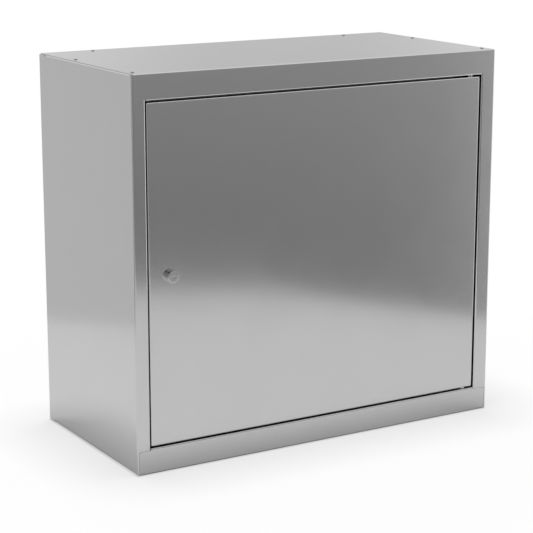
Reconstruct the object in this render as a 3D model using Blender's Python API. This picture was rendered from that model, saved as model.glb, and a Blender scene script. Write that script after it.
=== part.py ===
"""Stainless steel wall cupboard: a folded sheet carcass with one inset door on pivot pins.

The door hangs on two upright pins near its right edge and has a cam lock near its left edge.
Inside are a loose shelf on four clips and the slotted strips that carry them.

Datum of the pieces: X to the right from the left side wall, Y to the back from the front face,
Z up from the base. The datum is moved so that the finished cupboard's box is centred on the
world's origin in X and Y and stands on Z zero.
"""
import math

import bmesh
import bpy
from mathutils import Matrix, Vector

# Overall size of the carcass
WIDTH = 0.650
DEPTH = 0.320
HEIGHT = 0.600

# Sheet metal
SHEET = 0.001
FOLD_INNER = 0.0015
FOLD = FOLD_INNER + SHEET
FOLD_STEPS = 4
LAND = 0.0003
RELIEF = 0.001
SEAT_GAP = 0.0003
OVERRUN = 0.002
SAME = 0.00001

# Front frame
LEFT_STILE = 0.022
RIGHT_STILE = 0.026
LIP_HEIGHT = 0.0395
RAIL_HEIGHT = 0.040
RAIL_CORNER = 0.0035
STILE_RETURN = 0.019
STILE_HEM = 0.011
END_RETURN = 0.022
STOP_HEIGHT = 0.014

# Flanges that join the carcass sheets
SIDE_FLANGE = 0.020
BACK_FLANGE = 0.020
REAR_RETURN = 0.015

# Rivets through the top
RIVET_EDGE = 0.012
RIVET_FRONT = 0.020
RIVET_MIDDLE = 0.210
RIVET_BACK_INSET = 0.0875
RIVET_HEAD_RADIUS = 0.0028
RIVET_HEAD_RISE = 0.0009
RIVET_SHANK_RADIUS = 0.0015
RIVET_TAIL_RADIUS = 0.0022
RIVET_TAIL_RISE = 0.0016
RIVET_SIDES = 16

# Wall fixing holes in the back
FIXING_RADIUS = 0.0045
FIXING_FROM_SIDE = 0.060
FIXING_FROM_TOP = 0.055
FIXING_FROM_BASE = 0.070

# Door
DOOR_GAP = 0.0024
FREE_EDGE_GAP = 0.0014
HINGE_EDGE_GAP = 0.0034
DOOR_DEPTH = 0.018
DOOR_LIP = 0.013

# Hinge
PIVOT_FROM_DOOR_EDGE = 0.0151
PIVOT_DEPTH = 0.008
PIN_RADIUS = 0.0032
PIN_HEAD_RADIUS = 0.0048
PIN_HEAD_HEIGHT = 0.0015
PIN_TIP_CHAMFER = 0.0006
PIN_RUN = 0.0001
PIN_PAST_BUSH = 0.0008
BUSH_WALL = 0.0012
BUSH_FLANGE = 0.0013
BUSH_FLANGE_HEIGHT = 0.0012
PLATE = 0.0025
PLATE_LENGTH = 0.044
BRACKET_LEG = 0.022
SWING_CLEAR = 0.003
PIN_SIDES = 32

# Cam lock
LOCK_FROM_LEFT = 0.0597
LOCK_HEIGHT = 0.300
LOCK_PROUD = 0.009
COLLAR_RADIUS = 0.009
COLLAR_CHAMFER = 0.0009
BARREL_RADIUS = 0.0078
PLUG_RADIUS = 0.0056
PLUG_RUN = 0.0001
PLUG_RECESS = 0.0006
KEY_SLOT_WIDTH = 0.0060
KEY_SLOT_HEIGHT = 0.0014
KEY_SLOT_DEPTH = 0.006
NUT_FLATS = 0.022
NUT_HEIGHT = 0.004
CAM_THICK = 0.002
CAM_WIDTH = 0.016
CAM_REACH = 0.049
CAM_SQUARE = 0.007
CAM_CLEAR = 0.0006
SCREW_RADIUS = 0.002
SCREW_DEPTH = 0.008
SCREW_HEAD_RADIUS = 0.0045
SCREW_HEAD_HEIGHT = 0.0026
LOCK_SIDES = 36

# Buffers
BUFFER_FROM_LEFT = 0.055
BUFFER_RADIUS = 0.0042
BUFFER_STEM_RADIUS = 0.0018
BUFFER_TAIL_RADIUS = 0.0026
BUFFER_TAIL = 0.002
BUFFER_SIDES = 20

# Door stiffener
STIFFENER_WEB = 0.040
STIFFENER_HEIGHT = 0.012
STIFFENER_FOOT = 0.012
STIFFENER_END = 0.030

# Shelf strips, clips and shelf
STRIP_WEB = 0.022
STRIP_HEIGHT = 0.009
STRIP_FOOT = 0.009
STRIP_FRONT = 0.034
STRIP_BACK = 0.014
STRIP_FROM_TOP = 0.050
STRIP_FROM_BASE = 0.050
SLOT_PITCH = 0.025
SHELF_SLOT = 9
SLOT_WIDTH = 0.012
SLOT_HEIGHT = 0.004
CLIP_SHEET = 0.0015
CLIP_WIDTH = 0.0105
CLIP_HOOK = 0.006
CLIP_TAB = 0.018
CLIP_NOSE = 0.006
SHELF_RIM = 0.025
SHELF_HEM = 0.012
SHELF_SIDE_CLEAR = 0.0015
SHELF_FRONT = 0.044
SHELF_BACK_CLEAR = 0.006

# Places that follow from the sizes
DATUM = Vector((-WIDTH / 2, (LOCK_PROUD - DEPTH) / 2, 0.0))
UNDER_TOP = HEIGHT - SHEET - SEAT_GAP
OVER_BASE = SHEET + SEAT_GAP
STILE_TOP = HEIGHT - LIP_HEIGHT + FOLD + LAND
STILE_BOTTOM = RAIL_HEIGHT - FOLD - LAND
SHEET_EDGE = FOLD + LAND + SEAT_GAP
DOOR_LEFT = LEFT_STILE + FREE_EDGE_GAP
DOOR_RIGHT = WIDTH - RIGHT_STILE - HINGE_EDGE_GAP
DOOR_TOP = HEIGHT - LIP_HEIGHT - DOOR_GAP
DOOR_BOTTOM = RAIL_HEIGHT + DOOR_GAP
BACK_REAR = DEPTH - SHEET - SEAT_GAP
PIVOT = Vector((DOOR_RIGHT - PIVOT_FROM_DOOR_EDGE, PIVOT_DEPTH, 0.0))
LOCK = Vector((LOCK_FROM_LEFT, 0.0, LOCK_HEIGHT))
CAM_FRONT = STILE_RETURN + CAM_CLEAR
PIN_HOLE = PIN_RADIUS + SEAT_GAP
BUSH_BORE = PIN_RADIUS + PIN_RUN
BUSH_RADIUS = BUSH_BORE + BUSH_WALL
BUSH_HOLE = BUSH_RADIUS + SEAT_GAP
STOP_END = PIVOT.x - math.hypot(PIVOT_FROM_DOOR_EDGE, DOOR_DEPTH - PIVOT_DEPTH) - SWING_CLEAR
STRIP_FACE = SHEET + SEAT_GAP + STRIP_HEIGHT
STRIP_WIDTH = STRIP_WEB + 2 * STRIP_FOOT
CLIP_TOP = STRIP_FROM_BASE + SHELF_SLOT * SLOT_PITCH - SLOT_HEIGHT / 2 + SEAT_GAP + CLIP_SHEET
SHELF_BASE = CLIP_TOP + SEAT_GAP


def clear_scene():
    """Remove whatever the file holds, so that only the cupboard is in it."""
    for thing in list(bpy.data.objects):
        bpy.data.objects.remove(thing, do_unlink=True)
    for mesh in list(bpy.data.meshes):
        bpy.data.meshes.remove(mesh)


def finish(name, colour, roughness, metallic):
    """A plain Principled material."""
    material = bpy.data.materials.new(name)
    material.use_nodes = True
    shader = material.node_tree.nodes["Principled BSDF"]
    shader.inputs["Base Color"].default_value = (*colour, 1.0)
    shader.inputs["Roughness"].default_value = roughness
    shader.inputs["Metallic"].default_value = metallic
    material.diffuse_color = (*colour, 1.0)
    return material


def make_finishes():
    """The cupboard's materials, by the names that the pieces use."""
    return {
        "satin_steel": finish("satin_steel", (0.62, 0.62, 0.63), 0.30, 1.0),
        "bright_steel": finish("bright_steel", (0.72, 0.72, 0.73), 0.16, 1.0),
        "zinc_steel": finish("zinc_steel", (0.55, 0.56, 0.57), 0.38, 1.0),
        "grey_nylon": finish("grey_nylon", (0.60, 0.60, 0.58), 0.50, 0.0),
        "black_rubber": finish("black_rubber", (0.03, 0.03, 0.03), 0.80, 0.0),
    }


def empty_at(name, place, parent=None):
    """An empty that carries pieces, standing on a joint's axis or at the datum."""
    carrier = bpy.data.objects.new(name, None)
    bpy.context.scene.collection.objects.link(carrier)
    carrier.parent = parent
    carrier.location = place
    return carrier


def add_piece(name, bm, material, parent, place=(0.0, 0.0, 0.0)):
    """Turn a bmesh into a named object with one material."""
    mesh = bpy.data.meshes.new(name)
    bm.to_mesh(mesh)
    bm.free()
    mesh.materials.append(material)
    mesh.shade_smooth()
    mesh.set_sharp_from_angle(angle=math.radians(35))
    piece = bpy.data.objects.new(name, mesh)
    bpy.context.scene.collection.objects.link(piece)
    piece.parent = parent
    piece.location = place
    return piece


def add_cutter(name, bm, parent, place=(0.0, 0.0, 0.0)):
    """A hidden shape that cuts others."""
    mesh = bpy.data.meshes.new(name)
    bm.to_mesh(mesh)
    bm.free()
    cutter = bpy.data.objects.new(name, mesh)
    bpy.context.scene.collection.objects.link(cutter)
    cutter.parent = parent
    cutter.location = place
    cutter.hide_render = True
    cutter.display_type = "WIRE"
    return cutter


def cut(piece, cutter):
    """Take the cutter's shape out of the piece."""
    step = piece.modifiers.new("cut_" + cutter.name, "BOOLEAN")
    step.operation = "DIFFERENCE"
    step.solver = "EXACT"
    step.object = cutter


# Sheet work: a flat blank, flanges folded from its edges, rounded folds and a thickness

def blank(bm, corners):
    """One flat face from its corners."""
    return bm.faces.new([bm.verts.new(corner) for corner in corners])


def edges_at(bm, axis, value):
    """Border edges that lie at one coordinate."""
    return [edge for edge in bm.edges if len(edge.link_faces) == 1
            and all(abs(vert.co[axis] - value) < SAME for vert in edge.verts)]


def edges_within(edges, axis, low, high):
    """Those of the edges that lie between two coordinates."""
    return [edge for edge in edges
            if all(low - SAME < vert.co[axis] < high + SAME for vert in edge.verts)]


def fold_out(bm, edges, direction, length):
    """Extrude border edges into a flange."""
    made = bmesh.ops.extrude_edge_only(bm, edges=edges)["geom"]
    verts = [part for part in made if isinstance(part, bmesh.types.BMVert)]
    bmesh.ops.translate(bm, verts=verts, vec=Vector(direction) * length)
    return [part for part in made if isinstance(part, bmesh.types.BMEdge)
            and all(vert in verts for vert in part.verts)]


def face_outwards(bm, probe, outward):
    """Make the skin's normals agree, with the face nearest the probe looking outward."""
    bmesh.ops.recalc_face_normals(bm, faces=bm.faces)
    nearest = min(bm.faces, key=lambda face: (face.calc_center_median() - Vector(probe)).length)
    if nearest.normal.dot(Vector(outward)) < 0:
        bmesh.ops.reverse_faces(bm, faces=bm.faces)


def round_folds(bm, sheet=SHEET):
    """Give every fold its radius: the outer one where the skin turns away, the inner one where it turns in."""
    for convex, radius in ((True, FOLD_INNER + sheet), (False, FOLD_INNER)):
        bm.normal_update()
        sharp = math.radians(60)
        folds = [edge for edge in bm.edges
                 if len(edge.link_faces) == 2 and edge.calc_face_angle() > sharp and edge.is_convex == convex]
        if folds:
            bmesh.ops.bevel(bm, geom=folds, offset=radius, offset_type="OFFSET", segments=FOLD_STEPS,
                            profile=0.5, affect="EDGES", material=-1, clamp_overlap=False)


def thicken(piece, sheet=SHEET):
    """Give a skin its sheet thickness, inwards from the outer face."""
    step = piece.modifiers.new("sheet", "SOLIDIFY")
    step.thickness = sheet
    step.offset = -1.0
    step.use_even_offset = True
    step.use_quality_normals = True


def mirror_skin(bm, axis, centre):
    """Mirror a skin to the other hand."""
    scale = [1.0, 1.0, 1.0]
    scale[axis] = -1.0
    bmesh.ops.scale(bm, verts=bm.verts, vec=scale)
    shift = Vector((0.0, 0.0, 0.0))
    shift[axis] = 2 * centre
    bmesh.ops.translate(bm, verts=bm.verts, vec=shift)
    bmesh.ops.reverse_faces(bm, faces=bm.faces)


# Turned and prismatic pieces

def turned(outline, sides, closed=False):
    """Spin an outline of (radius, height) points about Z."""
    bm = bmesh.new()
    verts = [bm.verts.new((radius, 0.0, height)) for radius, height in outline]
    pairs = list(zip(verts, verts[1:]))
    if closed:
        pairs.append((verts[-1], verts[0]))
    edges = [bm.edges.new(pair) for pair in pairs]
    bmesh.ops.spin(bm, geom=verts + edges, cent=(0, 0, 0), axis=(0, 0, 1), angle=2 * math.pi,
                   steps=sides, use_merge=True)
    bmesh.ops.remove_doubles(bm, verts=bm.verts, dist=SAME)
    bmesh.ops.recalc_face_normals(bm, faces=bm.faces)
    return bm


def rod(radius, low, high, sides, places=((0.0, 0.0),)):
    """Plain upright cylinders, used as drills."""
    bm = bmesh.new()
    for x, y in places:
        middle = Matrix.Translation((x, y, (low + high) / 2))
        bmesh.ops.create_cone(bm, cap_ends=True, segments=sides, radius1=radius, radius2=radius,
                              depth=high - low, matrix=middle)
    return bm


def block(low, high):
    """A plain box between two corners."""
    bm = bmesh.new()
    add_block(bm, low, high)
    return bm


def add_block(bm, low, high):
    """Add a plain box to a bmesh."""
    low = Vector(low)
    high = Vector(high)
    size = high - low
    place = Matrix.Translation((low + high) / 2) @ Matrix.Diagonal((size.x, size.y, size.z, 1.0))
    bmesh.ops.create_cube(bm, size=1.0, matrix=place)


def lay_back(bm):
    """Turn an upright piece so that its top points to the back."""
    bmesh.ops.rotate(bm, verts=bm.verts, cent=(0, 0, 0), matrix=Matrix.Rotation(-math.pi / 2, 3, "X"))


# Carcass

def flange_span():
    """Front and back ends of the flanges at the top and base of a side wall."""
    front = 2 * FOLD + RELIEF
    back = BACK_REAR - BACK_FLANGE - SEAT_GAP
    return front, back


def side_skin(stile):
    """Skin of the left side panel: wall, stile with its return and hem, and three joining flanges."""
    bm = bmesh.new()
    front, back = flange_span()
    notch = FOLD + RELIEF
    base = [(0.0, OVER_BASE), (front - RELIEF, OVER_BASE), (front - RELIEF, OVER_BASE + notch),
            (front, OVER_BASE + notch), (front, OVER_BASE), (back, OVER_BASE), (back, OVER_BASE + notch),
            (back + RELIEF, OVER_BASE + notch), (back + RELIEF, OVER_BASE), (DEPTH, OVER_BASE)]
    top = [(y, OVER_BASE + UNDER_TOP - z) for y, z in reversed(base)]
    front_edge = [(0.0, STILE_TOP), (0.0, STILE_BOTTOM)]
    blank(bm, [(0.0, y, z) for y, z in base + top + front_edge])
    fold_out(bm, edges_at(bm, 1, 0.0), (1, 0, 0), FOLD + LAND)
    edge = edges_within(edges_at(bm, 0, FOLD + LAND), 2, STILE_BOTTOM, STILE_TOP)
    edge = fold_out(bm, edge, (1, 0, 0), stile - FOLD - LAND)
    edge = fold_out(bm, edge, (0, 1, 0), STILE_RETURN)
    fold_out(bm, edge, (-1, 0, 0), STILE_HEM)
    for height in (OVER_BASE, UNDER_TOP):
        edge = edges_within(edges_at(bm, 2, height), 1, front, back)
        fold_out(bm, edge, (1, 0, 0), SIDE_FLANGE)
    fold_out(bm, edges_at(bm, 1, DEPTH), (1, 0, 0), REAR_RETURN)
    face_outwards(bm, (0.0, DEPTH / 2, HEIGHT / 2), (-1, 0, 0))
    round_folds(bm)
    return bm


def make_side_panels(steel, datum, rivet_drill):
    """Left and right side panels; the right one is the other hand, with its own stile width."""
    right_skin = side_skin(RIGHT_STILE)
    mirror_skin(right_skin, 0, WIDTH / 2)
    for name, skin in (("left_side_panel", side_skin(LEFT_STILE)), ("right_side_panel", right_skin)):
        panel = add_piece(name, skin, steel, datum)
        thicken(panel)
        cut(panel, rivet_drill)


def end_skin(lip):
    """Skin of the top panel: sheet, front lip between the side bends, return flange and door stop."""
    bm = bmesh.new()
    left = SHEET_EDGE
    right = WIDTH - SHEET_EDGE
    inner_left = LEFT_STILE + SEAT_GAP
    inner_right = WIDTH - RIGHT_STILE - SEAT_GAP
    lip_wide = lip - FOLD - LAND - SEAT_GAP
    notch = FOLD + RELIEF
    front = [(x, 0.0, HEIGHT) for x in (left, inner_left, STOP_END, inner_right, right)]
    blank(bm, front + [(right, DEPTH, HEIGHT), (left, DEPTH, HEIGHT)])
    edge = fold_out(bm, edges_at(bm, 1, 0.0), (0, 0, -1), lip_wide)
    edge = edges_within(edge, 0, inner_left, inner_right)
    edge = fold_out(bm, edge, (0, 0, -1), lip - lip_wide)
    edge = fold_out(bm, edge, (0, 1, 0), END_RETURN - notch)
    edge = fold_out(bm, edges_within(edge, 0, inner_left, STOP_END), (0, 1, 0), notch)
    fold_out(bm, edge, (0, 0, -1), STOP_HEIGHT)
    face_outwards(bm, (WIDTH / 2, DEPTH / 2, HEIGHT), (0, 0, 1))
    round_folds(bm)
    return bm


def round_rail_corners(bm):
    """Round the rail's two free corners, which are not welded and ground like those of the top lip."""
    seam = RAIL_HEIGHT - FOLD - LAND - SEAT_GAP
    corners = [vert for vert in bm.verts if abs(vert.co.y) < SAME and abs(vert.co.z - seam) < SAME
               and min(abs(vert.co.x - SHEET_EDGE), abs(WIDTH - SHEET_EDGE - vert.co.x)) < SAME]
    bmesh.ops.bevel(bm, geom=corners, offset=RAIL_CORNER, offset_type="OFFSET", segments=FOLD_STEPS,
                    profile=0.5, affect="VERTICES", material=-1, clamp_overlap=False)


def make_end_panels(steel, datum, rivet_drill, bush_drill, buffer_drill):
    """Top panel, and the bottom panel as its mirror image with the rail's height."""
    rail_skin = end_skin(RAIL_HEIGHT)
    mirror_skin(rail_skin, 2, HEIGHT / 2)
    round_rail_corners(rail_skin)
    for name, skin in (("top_panel", end_skin(LIP_HEIGHT)), ("bottom_panel", rail_skin)):
        panel = add_piece(name, skin, steel, datum)
        thicken(panel)
        cut(panel, bush_drill)
        cut(panel, buffer_drill)
        if name == "top_panel":
            cut(panel, rivet_drill)


def make_back_panel(steel, datum, rivet_drill):
    """Back sheet inside the rear returns, with flanges at top and base and four wall fixing holes."""
    bm = bmesh.new()
    left = FOLD + SEAT_GAP
    right = WIDTH - left
    blank(bm, [(left, BACK_REAR, OVER_BASE), (right, BACK_REAR, OVER_BASE),
               (right, BACK_REAR, UNDER_TOP), (left, BACK_REAR, UNDER_TOP)])
    for height in (OVER_BASE, UNDER_TOP):
        fold_out(bm, edges_at(bm, 2, height), (0, -1, 0), BACK_FLANGE)
    face_outwards(bm, (WIDTH / 2, BACK_REAR, HEIGHT / 2), (0, 1, 0))
    round_folds(bm)
    panel = add_piece("back_panel", bm, steel, datum)
    thicken(panel)
    cut(panel, rivet_drill)
    spots = [(x, z) for x in (FIXING_FROM_SIDE, WIDTH - FIXING_FROM_SIDE)
             for z in (FIXING_FROM_BASE, HEIGHT - FIXING_FROM_TOP)]
    drill = rod(FIXING_RADIUS, -OVERRUN, SHEET + OVERRUN, RIVET_SIDES, [(x, -z) for x, z in spots])
    lay_back(drill)
    cut(panel, add_cutter("fixing_drill", drill, datum, (0.0, BACK_REAR - SHEET, 0.0)))


def rivet_places():
    """Where the rivets go through the top: two over each side wall and two over the back."""
    sides = [(x, y) for x in (RIVET_EDGE, WIDTH - RIVET_EDGE) for y in (RIVET_FRONT, RIVET_MIDDLE)]
    back = [(x, DEPTH - RIVET_EDGE) for x in (RIVET_BACK_INSET, WIDTH - RIVET_BACK_INSET)]
    return sides + back


def make_rivet_drill(datum):
    """Drill for the rivet holes in the top and in the flanges under it."""
    low = UNDER_TOP - SHEET - OVERRUN
    return add_cutter("rivet_drill", rod(RIVET_SHANK_RADIUS + SEAT_GAP, low, HEIGHT + OVERRUN, RIVET_SIDES,
                                         rivet_places()), datum)


def make_rivets(steel, datum):
    """Blind rivets: a low domed head above the top and a bulb under the flange."""
    head = HEIGHT + SEAT_GAP
    tail = UNDER_TOP - SHEET - SEAT_GAP
    crown = [(RIVET_HEAD_RADIUS * math.cos(turn), head + RIVET_HEAD_RISE * math.sin(turn))
             for turn in (0.0, math.pi / 6, math.pi / 3)]
    outline = ([(0.0, tail - RIVET_TAIL_RISE), (RIVET_TAIL_RADIUS, tail - RIVET_TAIL_RISE / 2),
                (RIVET_TAIL_RADIUS, tail), (RIVET_SHANK_RADIUS, tail), (RIVET_SHANK_RADIUS, head)]
               + crown + [(0.0, head + RIVET_HEAD_RISE)])
    for number, (x, y) in enumerate(rivet_places(), start=1):
        add_piece(f"top_rivet_{number}", turned(outline, RIVET_SIDES), steel, datum, (x, y, 0.0))


# Shelf and its carriers

def hat_skin(web, height, foot, length):
    """Skin of a hat section lying along Y: web up, legs down and feet outwards."""
    bm = bmesh.new()
    half = web / 2
    blank(bm, [(-half, 0.0, height), (half, 0.0, height), (half, length, height), (-half, length, height)])
    for side in (-1, 1):
        edge = fold_out(bm, edges_at(bm, 0, side * half), (0, 0, -1), height - SHEET)
        fold_out(bm, edge, (side, 0, 0), foot)
    face_outwards(bm, (0.0, length / 2, height), (0, 0, 1))
    round_folds(bm)
    return bm


def turn_to(bm, across, along, up):
    """Turn a piece so that its X, Y and Z point the given ways."""
    matrix = Matrix((across, along, up)).transposed()
    bmesh.ops.rotate(bm, verts=bm.verts, cent=(0, 0, 0), matrix=matrix)


def strip_spots():
    """Name, side and centre line of each shelf strip."""
    front = STRIP_FRONT + STRIP_WIDTH / 2
    rear = BACK_REAR - SHEET - STRIP_BACK - STRIP_WIDTH / 2
    return [("front_left", 1, front), ("rear_left", 1, rear), ("front_right", -1, front), ("rear_right", -1, rear)]


def wall_place(side, depth, height=0.0):
    """A point on the inside of the left or the right wall."""
    x = SHEET + SEAT_GAP
    return (x if side > 0 else WIDTH - x, depth, height)


def make_shelf_strips(steel, datum):
    """Four upright strips with a slot at every step of the shelf."""
    length = HEIGHT - STRIP_FROM_TOP - STRIP_FROM_BASE
    slots = bmesh.new()
    for number in range(1, round(length / SLOT_PITCH)):
        middle = number * SLOT_PITCH
        add_block(slots, (-SLOT_WIDTH / 2, middle - SLOT_HEIGHT / 2, STRIP_HEIGHT - SHEET - OVERRUN),
                  (SLOT_WIDTH / 2, middle + SLOT_HEIGHT / 2, STRIP_HEIGHT + OVERRUN))
    for name, side, depth in strip_spots():
        ways = ((0, side, 0), (0, 0, 1), (side, 0, 0))
        place = wall_place(side, depth, STRIP_FROM_BASE)
        skin = hat_skin(STRIP_WEB, STRIP_HEIGHT, STRIP_FOOT, length)
        turn_to(skin, *ways)
        strip = add_piece(f"{name}_strip", skin, steel, datum, place)
        thicken(strip)
        punch = slots.copy()
        turn_to(punch, *ways)
        cut(strip, add_cutter(f"{name}_punch", punch, datum, place))
    slots.free()


def clip_skin(side):
    """Skin of a shelf clip: a tab with a turned-down nose, and a hook that rises behind the slot."""
    bm = bmesh.new()
    half = CLIP_WIDTH / 2
    hook = STRIP_HEIGHT - SHEET - SEAT_GAP
    nose = STRIP_HEIGHT + CLIP_TAB
    blank(bm, [(hook, -half, 0.0), (nose, -half, 0.0), (nose, half, 0.0), (hook, half, 0.0)])
    fold_out(bm, edges_at(bm, 0, nose), (0, 0, -1), CLIP_NOSE)
    fold_out(bm, edges_at(bm, 0, hook), (0, 0, 1), CLIP_HOOK)
    face_outwards(bm, ((hook + nose) / 2, 0.0, 0.0), (0, 0, 1))
    round_folds(bm, CLIP_SHEET)
    if side < 0:
        mirror_skin(bm, 0, 0.0)
    return bm


def make_shelf_clips(steel, datum):
    """One clip in each strip, in the slot that carries the shelf."""
    for name, side, depth in strip_spots():
        clip = add_piece(f"{name}_clip", clip_skin(side), steel, datum, wall_place(side, depth, CLIP_TOP))
        thicken(clip, CLIP_SHEET)


def pan_skin(width, length, depth, lip):
    """Skin of a pan with its face up at zero, its rims down and its lips turned in, corners rounded."""
    bm = bmesh.new()
    add_block(bm, (0.0, 0.0, -depth), (width, length, 0.0))
    floor = min(bm.faces, key=lambda face: face.calc_center_median().z)
    bmesh.ops.delete(bm, geom=[floor], context="FACES_ONLY")
    rim = bmesh.ops.extrude_edge_only(bm, edges=edges_at(bm, 2, -depth))["geom"]
    for vert in (part for part in rim if isinstance(part, bmesh.types.BMVert)):
        vert.co.x += math.copysign(lip, width / 2 - vert.co.x)
        vert.co.y += math.copysign(lip, length / 2 - vert.co.y)
    face_outwards(bm, (width / 2, length / 2, 0.0), (0, 0, 1))
    round_folds(bm)
    return bm


def make_shelf(steel, datum):
    """Loose shelf: a pan lying on the four clips."""
    left = STRIP_FACE + SHELF_SIDE_CLEAR
    back = BACK_REAR - SHEET - SHELF_BACK_CLEAR
    skin = pan_skin(WIDTH - 2 * left, back - SHELF_FRONT, SHELF_RIM, SHELF_HEM)
    thicken(add_piece("shelf", skin, steel, datum, (left, SHELF_FRONT, SHELF_BASE + SHELF_RIM)))


# Door

def make_door_panel(steel, door, pin_drill):
    """The door: a pan standing upright, with holes for the lock and for both pins."""
    skin = pan_skin(DOOR_RIGHT - DOOR_LEFT, DOOR_TOP - DOOR_BOTTOM, DOOR_DEPTH, DOOR_LIP)
    turn_to(skin, (1, 0, 0), (0, 0, 1), (0, -1, 0))
    place = Vector((DOOR_LEFT, 0.0, DOOR_BOTTOM))
    panel = add_piece("door_panel", skin, steel, door, place - PIVOT)
    thicken(panel)
    cut(panel, pin_drill)
    drill = rod(BARREL_RADIUS + SEAT_GAP, -OVERRUN, SHEET + OVERRUN, LOCK_SIDES)
    lay_back(drill)
    cut(panel, add_cutter("lock_drill", drill, door, LOCK - PIVOT))


def make_door_stiffener(steel, door):
    """Upright hat section on the back of the door's skin."""
    length = DOOR_TOP - DOOR_BOTTOM - 2 * STIFFENER_END
    skin = hat_skin(STIFFENER_WEB, STIFFENER_HEIGHT, STIFFENER_FOOT, length)
    turn_to(skin, (-1, 0, 0), (0, 0, 1), (0, 1, 0))
    place = Vector(((DOOR_LEFT + DOOR_RIGHT) / 2, SHEET + SEAT_GAP, DOOR_BOTTOM + STIFFENER_END))
    thicken(add_piece("door_stiffener", skin, steel, door, place - PIVOT))


# Hinge: heights are measured from the door's top flange towards the frame, and mirrored for the lower one

def hinge_levels():
    """Heights of the hinge's pieces over the outer face of the door's flange."""
    bracket_top = -SHEET - SEAT_GAP
    bracket_low = bracket_top - PLATE
    plate_low = DOOR_GAP + SHEET + SEAT_GAP
    plate_top = plate_low + PLATE
    return bracket_top, bracket_low, plate_low, plate_top


def mirrored(bm, up):
    """Turn a hinge piece over for the lower hinge."""
    if up < 0:
        mirror_skin(bm, 2, 0.0)
    return bm


def make_pin_drill(name, radius, low, high, parent, places):
    """Drill for the pins or bushes at both hinges, each from low to high on its own side."""
    bm = bmesh.new()
    for height, up in places:
        ends = sorted((height + up * low, height + up * high))
        middle = Matrix.Translation((0.0, 0.0, (ends[0] + ends[1]) / 2))
        bmesh.ops.create_cone(bm, cap_ends=True, segments=PIN_SIDES, radius1=radius, radius2=radius,
                              depth=ends[1] - ends[0], matrix=middle)
    return add_cutter(name, bm, parent)


def make_hinge(name, height, up, steel, nylon, frame_axis, door):
    """One hinge: bracket and pin in the door, plate and bush in the frame."""
    bracket_top, bracket_low, plate_low, plate_top = hinge_levels()
    place = (0.0, 0.0, height)
    pin_head = bracket_low - SEAT_GAP
    bush_top = plate_top + SEAT_GAP + BUSH_FLANGE_HEIGHT
    pin_end = bush_top + PIN_PAST_BUSH
    pin = turned([(0.0, pin_head - PIN_HEAD_HEIGHT), (PIN_HEAD_RADIUS, pin_head - PIN_HEAD_HEIGHT),
                  (PIN_HEAD_RADIUS, pin_head), (PIN_RADIUS, pin_head), (PIN_RADIUS, pin_end - PIN_TIP_CHAMFER),
                  (PIN_RADIUS - PIN_TIP_CHAMFER, pin_end), (0.0, pin_end)], PIN_SIDES)
    add_piece(f"{name}_hinge_pin", mirrored(pin, up), steel["bright_steel"], door, place)
    flange_seat = plate_top + SEAT_GAP
    bush = turned([(BUSH_BORE, DOOR_GAP + SEAT_GAP), (BUSH_RADIUS, DOOR_GAP + SEAT_GAP),
                   (BUSH_RADIUS, flange_seat), (BUSH_RADIUS + BUSH_FLANGE, flange_seat),
                   (BUSH_RADIUS + BUSH_FLANGE, bush_top), (BUSH_BORE, bush_top)], PIN_SIDES, closed=True)
    add_piece(f"{name}_hinge_bush", mirrored(bush, up), nylon, frame_axis, place)
    right = WIDTH - RIGHT_STILE - 2 * SEAT_GAP - PIVOT.x
    front = FOLD + SEAT_GAP - PIVOT.y
    rear = END_RETURN - FOLD - SEAT_GAP - RELIEF - PIVOT.y
    plate = block((right - PLATE_LENGTH, front, plate_low), (right, rear, plate_top))
    plate = add_piece(f"{name}_hinge_plate", mirrored(plate, up), steel["zinc_steel"], frame_axis, place)
    bush_hole = rod(BUSH_HOLE, plate_low - OVERRUN, plate_top + OVERRUN, PIN_SIDES)
    cut(plate, add_cutter(f"{name}_plate_drill", mirrored(bush_hole, up), frame_axis, place))
    bracket = bracket_skin(bracket_top)
    bracket = add_piece(f"{name}_door_bracket", mirrored(bracket, up), steel["zinc_steel"], door, place)
    thicken(bracket, PLATE)
    pin_hole = rod(PIN_HOLE, bracket_low - OVERRUN, bracket_top + OVERRUN, PIN_SIDES)
    cut(bracket, add_cutter(f"{name}_bracket_drill", mirrored(pin_hole, up), door, place))


def bracket_skin(top):
    """Skin of a door bracket: a leg under the door's flange, folded down inside its edge."""
    bm = bmesh.new()
    right = PIVOT_FROM_DOOR_EDGE - SHEET - SEAT_GAP
    left = right - PLATE_LENGTH
    front = FOLD + SEAT_GAP - PIVOT.y
    rear = DOOR_DEPTH - FOLD - SEAT_GAP - PIVOT.y
    blank(bm, [(left, front, top), (right, front, top), (right, rear, top), (left, rear, top)])
    fold_out(bm, edges_at(bm, 0, right), (0, 0, -1), BRACKET_LEG)
    face_outwards(bm, ((left + right) / 2, (front + rear) / 2, top), (0, 0, 1))
    round_folds(bm, PLATE)
    return bm


# Cam lock: modelled upright with its front at the low end, then laid back into the door

def make_lock_body(steel, lock):
    """Collar and barrel with the bore for the plug."""
    bore = PLUG_RADIUS + PLUG_RUN
    outline = [(bore, -LOCK_PROUD), (COLLAR_RADIUS - COLLAR_CHAMFER, -LOCK_PROUD),
               (COLLAR_RADIUS, COLLAR_CHAMFER - LOCK_PROUD), (COLLAR_RADIUS, -SEAT_GAP),
               (BARREL_RADIUS, -SEAT_GAP), (BARREL_RADIUS, CAM_FRONT - SEAT_GAP), (bore, CAM_FRONT - SEAT_GAP)]
    bm = turned(outline, LOCK_SIDES, closed=True)
    lay_back(bm)
    add_piece("lock_body", bm, steel, lock)


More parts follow.
